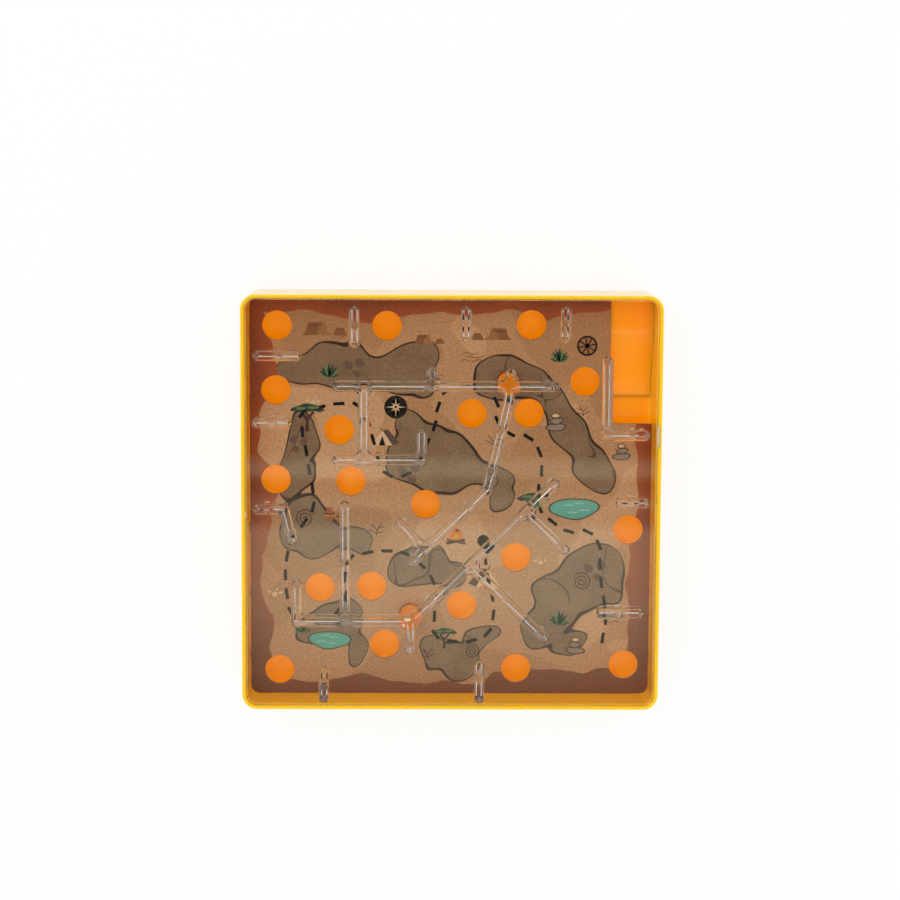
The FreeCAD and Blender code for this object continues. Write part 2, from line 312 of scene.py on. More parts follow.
def evenShade(item, name):
    # smooth, but sharp edges stay, and large flat faces keep their own normals
    item.data.shade_smooth()
    item.data.set_sharp_from_angle(angle=math.radians(32))
    even = item.modifiers.new("even", "WEIGHTED_NORMAL")
    even.keep_sharp = True
    even.weight = 100
    mesh = bpy.data.meshes.new_from_object(item.evaluated_get(bpy.context.evaluated_depsgraph_get()))
    mesh.name = name
    bpy.data.objects.remove(item)
    return mesh


def joined(name, first, second):
    # one closed mesh from two that overlap
    base, other = meshObject("first", first), meshObject("second", second)
    join = base.modifiers.new("join", "BOOLEAN")
    join.operation = "UNION"
    join.solver = "EXACT"
    join.use_self = True
    join.object = other
    mesh = bpy.data.meshes.new_from_object(base.evaluated_get(bpy.context.evaluated_depsgraph_get()))
    bpy.data.objects.remove(base)
    bpy.data.objects.remove(other)
    bm = bmesh.new()
    bm.from_mesh(mesh)
    print(name + ": faces", len(bm.faces), "open edges", sum(len(e.link_faces) < 2 for e in bm.edges),
          "touching edges", sum(len(e.link_faces) > 2 for e in bm.edges),
          "volume", round(bm.calc_volume() * 1e9, 1), "mm3")
    return evenShade(meshObject(name, bm), name)


plain = makeTrayPlastic("mouldedPolystyreneWithPaintedGlow", trayLook["inside"])
deep = makeTrayPlastic("mouldedPolystyreneDeepWithPaintedGlow", trayLook["posts"])
for name in ("tray", "return_ramp", "board_rests"):
    setMaterial(nodes[name], plain)
for name in ("board_post_upper", "board_post_lower"):
    setMaterial(nodes[name], deep)
print("tray finished")

# clear cover with its hanging walls
coverLook = {
    "ior": 1.59,
    "roughness": 0.01,
    "edgeRound": 0.45,        # mm, round of the walls' free edges
    "rootRound": 0.70,        # mm, hollow round where the walls meet the plate
    "rimRound": 0.08,         # mm, round of the plate's own edges
    "padRadius": 1.45,        # mm, marks that the mould's pins leave on the walls' free edges
    "padStep": 0.16,          # mm that they stand out
    "rootLap": 0.3,           # mm that the walls reach into the plate before they are joined
    "roundSteps": 5,
}


def makeClearPlastic():
    # crystal polystyrene, moulded: clear and glossy, with bright and dark lines along every edge.
    # Lamps and scattered light pass straight through it, so that what lies under it is lit.
    material, tree = newMaterial("crystalPolystyreneClear")
    glass = addNode(tree, "ShaderNodeBsdfPrincipled", {
        "Base Color": linear("#FBFBFA"), "Roughness": coverLook["roughness"], "IOR": coverLook["ior"],
        "Transmission Weight": 1.0})
    clear = addNode(tree, "ShaderNodeBsdfTransparent", {"Color": (0.97, 0.97, 0.97, 1)})
    path = addNode(tree, "ShaderNodeLightPath")
    through = addNode(tree, "ShaderNodeMath", {
        0: path.outputs["Is Shadow Ray"], 1: path.outputs["Is Diffuse Ray"]}, operation="MAXIMUM")
    mix = addNode(tree, "ShaderNodeMixShader", {0: through.outputs[0], 1: glass.outputs[0], 2: clear.outputs[0]})
    finishMaterial(tree, mix.outputs[0])
    return material


# pin marks on the walls' free edges, x and y in millimetres
pinPads = [
    (-31.3, 42.0), (-7.0, 42.8), (34.6, 42.4), (-31.3, 16.2), (17.7, 25.6), (14.2, 10.8), (6.3, -1.6),
    (-9.3, -16.6), (-13.6, -21.0), (-17.6, -7.9), (-55.3, -31.0), (-38.0, -43.0), (-38.0, -22.8), (-38.0, -1.6),
    (-14.4, -52.8), (-7.6, -36.7), (7.4, -22.7), (27.2, -3.2), (36.4, 6.6), (20.6, -36.0), (33.0, -48.2),
    (40.1, -15.6), (55.6, 50.4), (55.8, 25.2), (65.2, 24.9), (68.6, 24.9), (-34.7, 63.2), (5.1, 64.3),
    (40.5, 64.4), (-62.0, 53.1), (-64.2, 29.1), (-66.4, -2.2), (-57.2, -12.4), (64.9, 0.4), (61.0, -39.9),
    (-45.7, -66.8), (10.5, -65.4),
]


def makeTrimmedPlastic():
    # the same plastic where a blade has trimmed the moulding gate: white and rough
    material, tree = newMaterial("crystalPolystyreneTrimmed")
    place = addNode(tree, "ShaderNodeTexCoord").outputs["Object"]
    chips = addNode(tree, "ShaderNodeTexNoise", {"Vector": place, "Scale": 1500.0, "Detail": 3.0})
    bump = addNode(tree, "ShaderNodeBump", {"Height": chips.outputs["Fac"], "Strength": 0.8, "Distance": 0.0002})
    shader = addNode(tree, "ShaderNodeBsdfPrincipled", {
        "Base Color": linear("#E9E6DF"), "Roughness": 0.6, "Normal": bump.outputs[0], "Subsurface Weight": 0.2})
    finishMaterial(tree, shader.outputs[0])
    return material


def loopsOf(edges):
    # the edges as closed chains of vertices, longest way round first
    links = {}
    for edge in edges:
        for vertex in edge.verts:
            links.setdefault(vertex, []).append(edge.other_vert(vertex))
    loops = []
    while links:
        start = min(links, key=lambda v: tuple(v.co))
        chain, step = [start], links[start][0]
        while step is not start:
            before = chain[-1]
            chain.append(step)
            step = next(v for v in links[step] if v is not before)
        for vertex in chain:
            del links[vertex]
        loops.append(chain)
    return sorted(loops, key=lambda c: -sum((a.co - b.co).length for a, b in zip(c, c[1:] + c[:1])))


def outwardOf(chain):
    # for each vertex, the flat direction away from the shape, long enough to move both its edges by 1
    points = [v.co.xy for v in chain]
    area = sum(a.cross(b) for a, b in zip(points, points[1:] + points[:1]))
    sign = 1 if area > 0 else -1
    result = []
    for before, here, after in zip(points[-1:] + points[:-1], points, points[1:] + points[:1]):
        sides = [(b - a).normalized() for a, b in ((before, here), (here, after))]
        sides = [Vector((d.y, -d.x)) * sign for d in sides]
        result.append((sides[0] + sides[1]) / max(0.4, 1 + sides[0].dot(sides[1])))
    return result


def addRings(bm, chain, outward, profile):
    # one more ring of vertices for each (distance outwards, height), in metres, and faces between them
    points = [v.co.xy for v in chain]
    for reach, z in profile:
        ring = [bm.verts.new((*(p + o * reach), z)) for p, o in zip(points, outward)]
        for i in range(len(ring)):
            bm.faces.new((chain[i - 1], chain[i], ring[i], ring[i - 1]))
        chain = ring
    return chain


def quarter(steps):
    turns = [math.pi / 2 * k / steps for k in range(1, steps + 1)]
    return [(1 - math.cos(t), 1 - math.sin(t)) for t in turns]


def roundedWall(name):
    # the wall with its free edge rounded, and a hollow round at its root that runs out into the plate
    bm = mergedCopy(name)
    low = min(v.co.z for v in bm.verts)
    top = max(v.co.z for v in bm.verts)
    edgeRound, rootRound = coverLook["edgeRound"] * mm, coverLook["rootRound"] * mm
    flat = {z: [f for f in bm.faces if all(abs(v.co.z - z) < 1e-6 for v in f.verts)] for z in (low, top)}
    bmesh.ops.delete(bm, geom=flat[top], context="FACES")
    cap = set(flat[low])
    rim = [e for e in bm.edges if len(e.link_faces) == 2 and (e.link_faces[0] in cap) != (e.link_faces[1] in cap)]
    outer = loopsOf(rim)[0]
    ends = set(outer)
    split = [e for e in rim if set(e.verts) <= ends]
    bmesh.ops.split_edges(bm, edges=split)
    open_ = [e for e in bm.edges if len(e.link_faces) == 1]
    capLoop = loopsOf([e for e in open_ if e.link_faces[0] in cap])[0]
    sideLoop = loopsOf([e for e in open_ if e.link_faces[0] not in cap and e.verts[0].co.z < (low + top) / 2])[0]
    if (sideLoop[1].co - capLoop[1].co).length > 1e-7:
        sideLoop = sideLoop[:1] + sideLoop[:0:-1]
    topLoop = loopsOf([e for e in open_ if e.verts[0].co.z > (low + top) / 2])[0]
    capVertices = {v for f in cap for v in f.verts}
    lowOut, topOut = outwardOf(sideLoop), outwardOf(topLoop)
    for vertex in bm.verts:
        if vertex in capVertices:
            continue
        below, above = low + mm - vertex.co.z, vertex.co.z - (top - mm)
        if below > 0:
            vertex.co.z += below * edgeRound / mm
        elif above > 0:
            vertex.co.z -= above * rootRound / mm
    chain = addRings(bm, sideLoop, lowOut, [
        (-edgeRound * r, low + edgeRound * h) for r, h in quarter(coverLook["roundSteps"])[:-1]])
    for vertex, outward in zip(capLoop, lowOut):
        vertex.co.xy -= outward * edgeRound
    for i in range(len(chain)):
        bm.faces.new((chain[i - 1], chain[i], capLoop[i], capLoop[i - 1]))
    hollow = [(rootRound * r, top - rootRound * h) for r, h in quarter(coverLook["roundSteps"])]
    hollow[-1] = (rootRound, top + 0.01 * mm)
    chain = addRings(bm, topLoop, topOut, hollow + [(rootRound, top + coverLook["rootLap"] * mm)])
    bm.faces.new(chain)
    bmesh.ops.recalc_face_normals(bm, faces=bm.faces)
    return bm


def roundedPlate():
    bm = mergedCopy("cover_plate")
    bmesh.ops.dissolve_limit(bm, angle_limit=math.radians(0.3), verts=bm.verts, edges=bm.edges)
    flat = [f for f in bm.faces if abs(f.normal.z) > 0.99 and f.calc_area() > 0.01]
    rim = [e for e in bm.edges if sum(f in flat for f in e.link_faces) == 1]
    bmesh.ops.bevel(bm, geom=rim, offset=coverLook["rimRound"] * mm, segments=3, profile=0.5, affect="EDGES")
    return bm


def addPads(walls):
    # a low round disc with a rounded edge for each pin mark
    radius, step = coverLook["padRadius"], coverLook["padStep"]
    for x, y in pinPads:
        profile = [(radius, wallEnd + 0.8), (radius, wallEnd), (radius - step * 0.3, wallEnd - step * 0.75),
                   (radius - step, wallEnd - step)]
        ring = []
        for reach, z in profile:
            ring.append([walls.verts.new(((x + reach * math.cos(k * math.pi / 12)) * mm,
                                          (y + reach * math.sin(k * math.pi / 12)) * mm, z * mm)) for k in range(24)])
        for above, below in zip(ring, ring[1:]):
            for k in range(24):
                walls.faces.new((above[k - 1], below[k - 1], below[k], above[k]))
        walls.faces.new(ring[0])
        walls.faces.new(ring[-1][::-1])


def makeCover():
    walls = bmesh.new()
    for name in wallNames:
        bm = roundedWall(name)
        part = bpy.data.meshes.new(name)
        bm.to_mesh(part)
        bm.free()
        walls.from_mesh(part)
        bpy.data.meshes.remove(part)
    addPads(walls)
    bmesh.ops.recalc_face_normals(walls, faces=walls.faces)
    mesh = joined("clearCover", roundedPlate(), walls)
    cover = newPiece("clearCover", mesh, "case")
    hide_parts("cover_plate", *wallNames)
    setMaterial(cover, makeClearPlastic(), makeTrimmedPlastic())
    gateStart = max(v.co.x for v in mesh.vertices) - 0.00075
    for face in mesh.polygons:
        if face.center.x > gateStart:
            face.material_index = 1


makeCover()
print("cover joined")


# painted highlight: a small pale blob stands for the bright spot in the wall junction over the lower post
paintedHighlightMark = {"place": (-15.5, -43.5), "size": (1.1, 0.75, 0.12)}      # mm, half across each way


def makePaintedHighlightMark():
    # painted highlight: a pale, clouded spot in the wall junction over the lower post
    material, tree = newMaterial("paintedHighlightClouded")
    place = addNode(tree, "ShaderNodeTexCoord").outputs["Object"]
    cloud = addNode(tree, "ShaderNodeTexNoise", {"Vector": place, "Scale": 1800.0, "Detail": 3.0})
    colour = addNode(tree, "ShaderNodeMix", {
        "Factor": cloud.outputs["Fac"], "A": linear("#E9C8A0"), "B": linear("#FFF6E6")}, data_type="RGBA")
    shader = addNode(tree, "ShaderNodeBsdfPrincipled", {
        "Base Color": colour.outputs["Result"], "Roughness": 0.45, "Subsurface Weight": 0.3,
        "Subsurface Scale": 0.0005})
    finishMaterial(tree, shader.outputs[0])
    bm = bmesh.new()
    bmesh.ops.create_uvsphere(bm, u_segments=16, v_segments=8, radius=1.0)
    x, y = paintedHighlightMark["place"]
    for vertex in bm.verts:
        swell = 1 + 0.12 * math.sin(5 * vertex.co.x + 2) * math.cos(4 * vertex.co.y)
        vertex.co = Vector((x + vertex.co.x * paintedHighlightMark["size"][0] * swell,
                            y + vertex.co.y * paintedHighlightMark["size"][1] * swell,
                            wallEnd + vertex.co.z * paintedHighlightMark["size"][2])) * mm
    mesh = bpy.data.meshes.new("paintedHighlightMark")
    bm.to_mesh(mesh)
    bm.free()
    mesh.shade_smooth()
    piece = newPiece("paintedHighlightMark", mesh, "case")
    setMaterial(piece, material)


makePaintedHighlightMark()
print("weld mark added")

# ball
def makeSteel():
    # polished bearing steel: a mirror with faint rolling marks
    material, tree = newMaterial("polishedBearingSteel")
    place = addNode(tree, "ShaderNodeTexCoord").outputs["Object"]
    marks = addNode(tree, "ShaderNodeTexNoise", {"Vector": place, "Scale": 900.0, "Detail": 2.0})
    rough = addNode(tree, "ShaderNodeMapRange", {
        "Value": marks.outputs["Fac"], "To Min": 0.05, "To Max": 0.12})
    bump = addNode(tree, "ShaderNodeBump", {"Height": marks.outputs["Fac"], "Strength": 0.1, "Distance": 0.00002})
    shader = addNode(tree, "ShaderNodeBsdfPrincipled", {
        "Base Color": linear("#C9CACC"), "Metallic": 1.0, "Roughness": rough.outputs[0], "Normal": bump.outputs[0]})
    finishMaterial(tree, shader.outputs[0])
    return material


setMaterial(nodes["steel_ball"], makeSteel())
for face in nodes["steel_ball"].data.polygons:
    face.use_smooth = True
print("ball polished")

# printed board
printLook = {
    "sand": "#B5855A", "sandPale": "#C19267", "sandDeep": "#AA7B51",
    "border": "#A04F24", "borderDeep": "#8E4624", "borderLow": "#7A4426",
    "rock": "#876A4D", "rockDark": "#7A5C40", "ink": "#33200F", "crease": "#4F3726",
    "lowerGrey": "#B9B4A8", "lowerGreying": 0.07,         # the lower half is drawn paler and greyer
    "card": "#B79B78",
    "borderWidth": 6.0, "borderWave": 8.0,      # mm
    "printHalf": 72.8,                          # mm from the middle to the print's edge
}
# rock patches of the print: x, y, radius in millimetres
rockSpots = [
    (-52, 49, 6.5), (-43, 46, 7.5), (-32, 49, 8.0), (-21, 47, 8.0), (-12, 44, 6.0),
    (-56, 20, 7.5), (-52, 7, 6.0), (-55, -9, 7.5), (-47, -18, 6.5), (-36, -16, 4.5),
    (-16, 26, 5.0), (-10, 14, 8.5), (2, 12, 8.0), (14, 8, 6.5), (18, -2, 5.0),
    (14, 46, 7.0), (25, 44, 8.5), (37, 36, 8.0), (42, 24, 8.5), (50, 12, 7.5),
    (60, -28, 6.5), (50, -30, 8.0), (38, -36, 8.0), (33, -48, 6.0), (46, -52, 5.5),
    (-8, -22, 7.0), (-18, -24, 5.5), (2, -26, 4.5),
    (-48, -52, 7.5), (-36, -46, 6.5), (-34, -60, 5.5), (-10, -56, 6.5), (3, -59, 7.0), (12, -52, 5.0),
]


def makeBoardPrint():
    # four-colour print on satin-varnished paper, glued on a grey-brown card
    material, tree = newMaterial("printedSatinPaperOnCard")
    place = addNode(tree, "ShaderNodeTexCoord").outputs["Object"]
    flat = addNode(tree, "ShaderNodeVectorMath", {0: place, 1: (1000, 1000, 0)}, operation="MULTIPLY").outputs[0]

    def mix(factor, first, second):
        return addNode(tree, "ShaderNodeMix", {"Factor": factor, "A": first, "B": second},
                       data_type="RGBA").outputs["Result"]

    def remap(value, fromMin, fromMax, toMin=0.0, toMax=1.0):
        return addNode(tree, "ShaderNodeMapRange", {
            "Value": value, "From Min": fromMin, "From Max": fromMax, "To Min": toMin, "To Max": toMax}).outputs[0]

    wander = addNode(tree, "ShaderNodeTexNoise", {"Vector": flat, "Scale": 0.042, "Detail": 1.0, "Roughness": 0.35})
    shift = addNode(tree, "ShaderNodeVectorMath", {
        0: wander.outputs["Color"], 1: (0.5, 0.5, 0.5)}, operation="SUBTRACT")
    push = addNode(tree, "ShaderNodeVectorMath", {0: shift.outputs[0], 1: (26, 26, 0)}, operation="MULTIPLY")
    bent = addNode(tree, "ShaderNodeVectorMath", {0: flat, 1: push.outputs[0]}, operation="ADD").outputs[0]

    # sand in three tones, like low dunes
    dunes = addNode(tree, "ShaderNodeTexNoise", {"Vector": bent, "Scale": 0.024, "Detail": 1.0})
    sandTone = addNode(tree, "ShaderNodeValToRGB", {"Fac": dunes.outputs["Fac"]})
    sandTone.color_ramp.elements[0].position = 0.44
    sandTone.color_ramp.elements[0].color = linear(printLook["sandDeep"])
    sandTone.color_ramp.elements[1].position = 0.585
    sandTone.color_ramp.elements[1].color = linear(printLook["sandPale"])
    for at in (0.447, 0.578):
        sandTone.color_ramp.elements.new(at).color = linear(printLook["sand"])

    # rock patches: the sum of round spots, with an ink line where it passes 1
    total = None
    for x, y, radius in rockSpots:
        gap = addNode(tree, "ShaderNodeVectorMath", {0: bent, 1: (x, y, 0)}, operation="DISTANCE").outputs["Value"]
        near = addNode(tree, "ShaderNodeMath", {0: radius, 1: gap}, operation="DIVIDE").outputs[0]
        near = addNode(tree, "ShaderNodeMath", {0: near, 1: 3.2}, operation="POWER").outputs[0]
        if total is not None:
            near = addNode(tree, "ShaderNodeMath", {0: total, 1: near}, operation="ADD").outputs[0]
        total = near
    patch = remap(total, 0.98, 1.02)
    inside = remap(total, 1.24, 1.29)
    mottle = addNode(tree, "ShaderNodeTexNoise", {"Vector": flat, "Scale": 0.09, "Detail": 4.0, "Roughness": 0.6})
    rock = mix(remap(mottle.outputs["Fac"], 0.35, 0.65), linear(printLook["rockDark"]), linear(printLook["rock"]))
    fold = addNode(tree, "ShaderNodeTexNoise", {"Vector": bent, "Scale": 0.05, "Detail": 0.0})
    off = addNode(tree, "ShaderNodeMath", {0: fold.outputs["Fac"], 1: 0.5}, operation="SUBTRACT").outputs[0]
    off = addNode(tree, "ShaderNodeMath", {0: off}, operation="ABSOLUTE").outputs[0]
    crease = addNode(tree, "ShaderNodeMath", {
        0: remap(off, 0.004, 0.008, 1.0, 0.0), 1: remap(dunes.outputs["Fac"], 0.49, 0.50)},
        operation="MULTIPLY").outputs[0]
    rock = mix(crease, rock, linear(printLook["crease"]))
    ground = mix(patch, sandTone.outputs["Color"], mix(inside, linear(printLook["ink"]), rock))

    # dark border with a wavy inner edge
    plain = addNode(tree, "ShaderNodeVectorMath", {0: flat}, operation="ABSOLUTE")
    sides = addNode(tree, "ShaderNodeSeparateXYZ", {"Vector": plain.outputs[0]})
    outmost = addNode(tree, "ShaderNodeMath", {0: sides.outputs["X"], 1: sides.outputs["Y"]}, operation="MAXIMUM")
    inset = addNode(tree, "ShaderNodeMath", {
        0: printLook["printHalf"], 1: outmost.outputs[0]}, operation="SUBTRACT").outputs[0]
    swell = addNode(tree, "ShaderNodeTexNoise", {"Vector": flat, "Scale": 0.038, "Detail": 2.0, "Roughness": 0.4})
    width = remap(swell.outputs["Fac"], 0.3, 0.7, printLook["borderWidth"] - printLook["borderWave"] / 2,
                  printLook["borderWidth"] + printLook["borderWave"] / 2)
    past = addNode(tree, "ShaderNodeMath", {0: width, 1: inset}, operation="SUBTRACT").outputs[0]
    down = addNode(tree, "ShaderNodeSeparateXYZ", {"Vector": flat}).outputs["Y"]
    brown = mix(remap(past, 0.5, 6.0), linear(printLook["border"]), linear(printLook["borderDeep"]))
    brown = mix(remap(down, -20.0, -60.0), brown, linear(printLook["borderLow"]))
    picture = mix(remap(past, -0.12, 0.12), ground, brown)
    # paler and greyer towards the bottom
    picture = mix(remap(down, 6.0, -14.0, 0.0, printLook["lowerGreying"]), picture, linear(printLook["lowerGrey"]))

    # print grain: the screen dots run together, so it is drawn coarser than the real 0.17 mm
    dots = addNode(tree, "ShaderNodeTexNoise", {"Vector": flat, "Scale": 1.2, "Detail": 3.0})
    printed = addNode(tree, "ShaderNodeVectorMath", {
        0: picture, 1: remap(dots.outputs["Fac"], 0.3, 0.7, 0.80, 1.20)}, operation="MULTIPLY").outputs[0]

    # only the upper face is printed; edges and back are bare card
    turned = addNode(tree, "ShaderNodeNewGeometry").outputs["True Normal"]
    upward = addNode(tree, "ShaderNodeSeparateXYZ", {"Vector": turned}).outputs["Z"]
    top = addNode(tree, "ShaderNodeMath", {0: upward, 1: 0.5}, operation="GREATER_THAN").outputs[0]
    fibre = addNode(tree, "ShaderNodeTexNoise", {"Vector": place, "Scale": 2500.0, "Detail": 3.0})
    bump = addNode(tree, "ShaderNodeBump", {"Height": fibre.outputs["Fac"], "Strength": 0.15, "Distance": 0.00003})
    shader = addNode(tree, "ShaderNodeBsdfPrincipled", {
        "Base Color": mix(top, linear(printLook["card"]), printed), "Roughness": remap(top, 0.0, 1.0, 0.85, 0.5),
        "Specular IOR Level": 0.2, "Normal": bump.outputs[0]})
    finishMaterial(tree, shader.outputs[0])
    return material


setMaterial(nodes["playfield_board"], makeBoardPrint())
print("board printed")

# drawings on the board
inks = {
    "black": "#16100C", "brown": "#4B3022", "umber": "#5D4536", "green": "#2F4030", "leaf": "#5F7B45",
    "bone": "#D3AE83", "gold": "#C79A3C", "clay": "#9A5A38", "teal": "#5FA08C", "tealPale": "#9CCBB2",
    "stone": "#8C7966", "mesa": "#85562F", "mesaPale": "#9A683D", "flame": "#D9762B",
    "hollow": "#6A4E40",
}
inkThickness = 0.02      # mm for each layer of a drawing


def oval(x, y, across, high, steps=20, turn=0.0):
    points = [(across * math.cos(2 * math.pi * k / steps), high * math.sin(2 * math.pi * k / steps))
              for k in range(steps)]
    c, s = math.cos(turn), math.sin(turn)
    return [(x + px * c - py * s, y + px * s + py * c) for px, py in points]


def blob(x, y, across, high, seed, rough=0.12, steps=22):
    rng = random.Random(seed)
    phases = [rng.uniform(0, 6.28) for _ in range(3)]
    result = []
    for k in range(steps):
        t = 2 * math.pi * k / steps
        swell = 1 + rough * sum(math.sin((n + 2) * t + phases[n]) / (n + 1) for n in range(3))
        result.append((x + across * swell * math.cos(t), y + high * swell * math.sin(t)))
    return result


def stroke(ink, points, width):
    # a line of even width through the points, in short straight pieces
    sides = []
    for i, here in enumerate(points):
        a, b = Vector(points[max(0, i - 1)]), Vector(points[min(len(points) - 1, i + 1)])
        along = (b - a).normalized()
        aside = Vector((-along.y, along.x)) * width / 2
        sides.append((tuple(Vector(here) + aside), tuple(Vector(here) - aside)))
    return [(ink, [a[0], b[0], b[1], a[1]]) for a, b in zip(sides, sides[1:])]


def leaf(length, width, angle, bend=0.0):
    c, s = math.cos(math.radians(angle)), math.sin(math.radians(angle))
    shape = [(0, -width * 0.3), (length * 0.45, -width * 0.5 + bend), (length, bend * 2),
             (length * 0.45, width * 0.5 + bend), (0, width * 0.3)]
    return [(px * c - py * s, px * s + py * c) for px, py in shape]


def tent():
    return [("umber", [(0.2, 6.4), (4.6, 0), (7.4, 1.1), (2.6, 6.9)]), ("bone", [(-4.4, 0), (4.6, 0), (0.2, 6.4)]),
            ("black", [(-1.3, 0), (1.5, 0), (0.2, 4.2)])] + stroke("brown", [(0.2, 6.2), (-0.5, 7.6)], 0.4)


def acacia():
    crown = [(-5.4, 6.4), (-4.8, 7.5), (-2.9, 8.1), (-0.9, 8.9), (1.6, 8.7), (3.9, 8.0), (5.6, 6.8), (4.0, 6.1),
             (1.7, 6.5), (-0.9, 6.0), (-3.4, 6.5)]
    trunk = [(-0.7, 0), (0.6, 0), (0.35, 3.4), (2.4, 6.2), (1.6, 6.5), (0.1, 4.6), (-1.6, 6.4), (-2.2, 6.0),
             (-0.4, 3.4)]
    return [("brown", trunk), ("green", crown), ("leaf", oval(-2.0, 7.3, 1.7, 0.45)),
            ("leaf", oval(1.9, 7.6, 1.9, 0.45))]


def agave():
    leaves = [(170, 3.6), (12, 3.8), (150, 4.3), (32, 4.4), (130, 4.6), (52, 4.7), (110, 5.0), (72, 4.9), (91, 5.2)]
    return [("green" if i % 3 else "leaf", leaf(size, 1.35, angle)) for i, (angle, size) in enumerate(leaves)]


def cairn():
    return [("brown", blob(0, 1.3, 3.5, 1.6, 1)), ("stone", blob(0, 1.3, 3.0, 1.2, 1)),
            ("brown", blob(0.2, 3.6, 2.5, 1.3, 2)), ("stone", blob(0.2, 3.6, 2.1, 0.9, 2)),
            ("brown", blob(-0.1, 5.6, 1.6, 1.1, 3)), ("bone", blob(-0.1, 5.6, 1.2, 0.75, 3))]


def compass():
    star = []
    for k in range(16):
        reach = (3.9, 0.9, 2.3, 0.9)[k % 4]
        star.append((reach * math.sin(k * math.pi / 8), reach * math.cos(k * math.pi / 8)))
    return [("black", oval(0, 0, 4.4, 4.4, 32)), ("bone", star), ("black", oval(0, 0, 0.5, 0.5, 12))]


def campfire():
    flame = [(-1.8, 1.2), (-2.2, 2.6), (-1.0, 3.6), (-0.8, 5.0), (0.6, 3.9), (1.2, 4.6), (2.1, 2.8), (1.6, 1.2)]
    heart = [(-0.9, 1.3), (-1.0, 2.4), (0.0, 3.4), (0.9, 2.4), (0.8, 1.3)]
    logs = stroke("brown", [(-3.2, 0), (3.0, 1.3)], 0.9) + stroke("umber", [(-3.0, 1.3), (3.2, 0)], 0.9)
    return logs + [("flame", flame), ("gold", heart)]


def pot():
    body = [(-0.9, 0), (-2.0, 1.8), (-2.0, 3.2), (-0.8, 4.4), (-1.3, 5.2), (1.3, 5.2), (0.8, 4.4), (2.0, 3.2),
            (2.0, 1.8), (0.9, 0)]
    return [("clay", body)] + stroke("brown", [(-1.95, 2.9), (0, 2.6), (1.95, 2.9)], 0.35) + stroke(
        "gold", [(-1.9, 2.1), (1.9, 2.1)], 0.3)


def wheel():
    parts = [("black", oval(0, 0, 3.7, 3.7, 28)), ("mesaPale", oval(0, 0, 3.0, 3.0, 28))]
    for turn in (0.2, 0.985, 1.77, 2.556):
        x, y = 3.1 * math.cos(turn), 3.1 * math.sin(turn)
        parts += stroke("black", [(x, y), (-x, -y)], 0.45)
    return parts + [("black", oval(0, 0, 0.8, 0.8, 12))]


def mesa():
    face = [(-7, 0), (-5.6, 1.2), (-4.6, 4.6), (1.2, 4.8), (2.4, 1.4), (4.5, 0)]
    lit = [(-1.6, 0), (-0.9, 2.9), (0.2, 4.7), (1.2, 4.8), (2.4, 1.4), (4.5, 0)]
    return [("mesa", face), ("mesaPale", lit), ("mesa", [(4.2, 0), (5.4, 2.6), (8.0, 2.8), (9.4, 0)])] + stroke(
        "brown", [(-4.4, 3.5), (0.4, 3.7)], 0.25)


def pool():
    parts = [("brown", blob(0, 0, 8.2, 4.4, 8)), ("teal", blob(0, 0, 7.7, 3.95, 8))]
    for x, y in ((-3.8, 1.2), (0.2, 2.0), (-2.4, -1.4), (1.8, -0.6)):
        parts += stroke("tealPale", [(x + 0.9 * k, y + 0.25 * (-1) ** k) for k in range(5)], 0.3)
    return parts


def fossil():
    spiral = [((0.35 + 0.085 * k) * math.cos(0.45 * k), (0.35 + 0.085 * k) * math.sin(0.45 * k)) for k in range(34)]
    return stroke("brown", spiral, 0.36)


def hollows():
    return [("hollow", blob(x, y, a, b, i)) for i, (x, y, a, b) in enumerate(
        ((0, 0, 1.9, 1.7), (4.6, -1.1, 1.6, 1.9), (1.2, -4.4, 1.7, 1.4)))]


def twig():
    limbs = [([(0, 0), (0.4, 1.8), (1.6, 3.6)], 0.3), ([(0.3, 1.4), (-1.4, 3.4)], 0.26),
             ([(0.1, 0.5), (-2.2, 1.8)], 0.24), ([(0.6, 2.1), (2.4, 2.7)], 0.24), ([(0.2, 0.6), (2.3, 1.1)], 0.24)]
    return [part for points, width in limbs for part in stroke("brown", points, width)]


def ripples():
    return [part for x, y, count in ((-4.6, 0, 8), (-3.0, 1.3, 7), (-4.0, 2.6, 6)) for part in stroke(
        "mesa", [(x + 1.1 * k, y + 0.35 * math.sin(1.3 * k)) for k in range(count)], 0.32)]


def pebbles():
    return [("bone", blob(x, y, a, a * 0.7, i)) for i, (x, y, a) in enumerate(
        ((0, 0, 1.1), (2.2, 0.6, 0.7), (-1.9, 0.9, 0.6), (0.9, 1.7, 0.5)))]


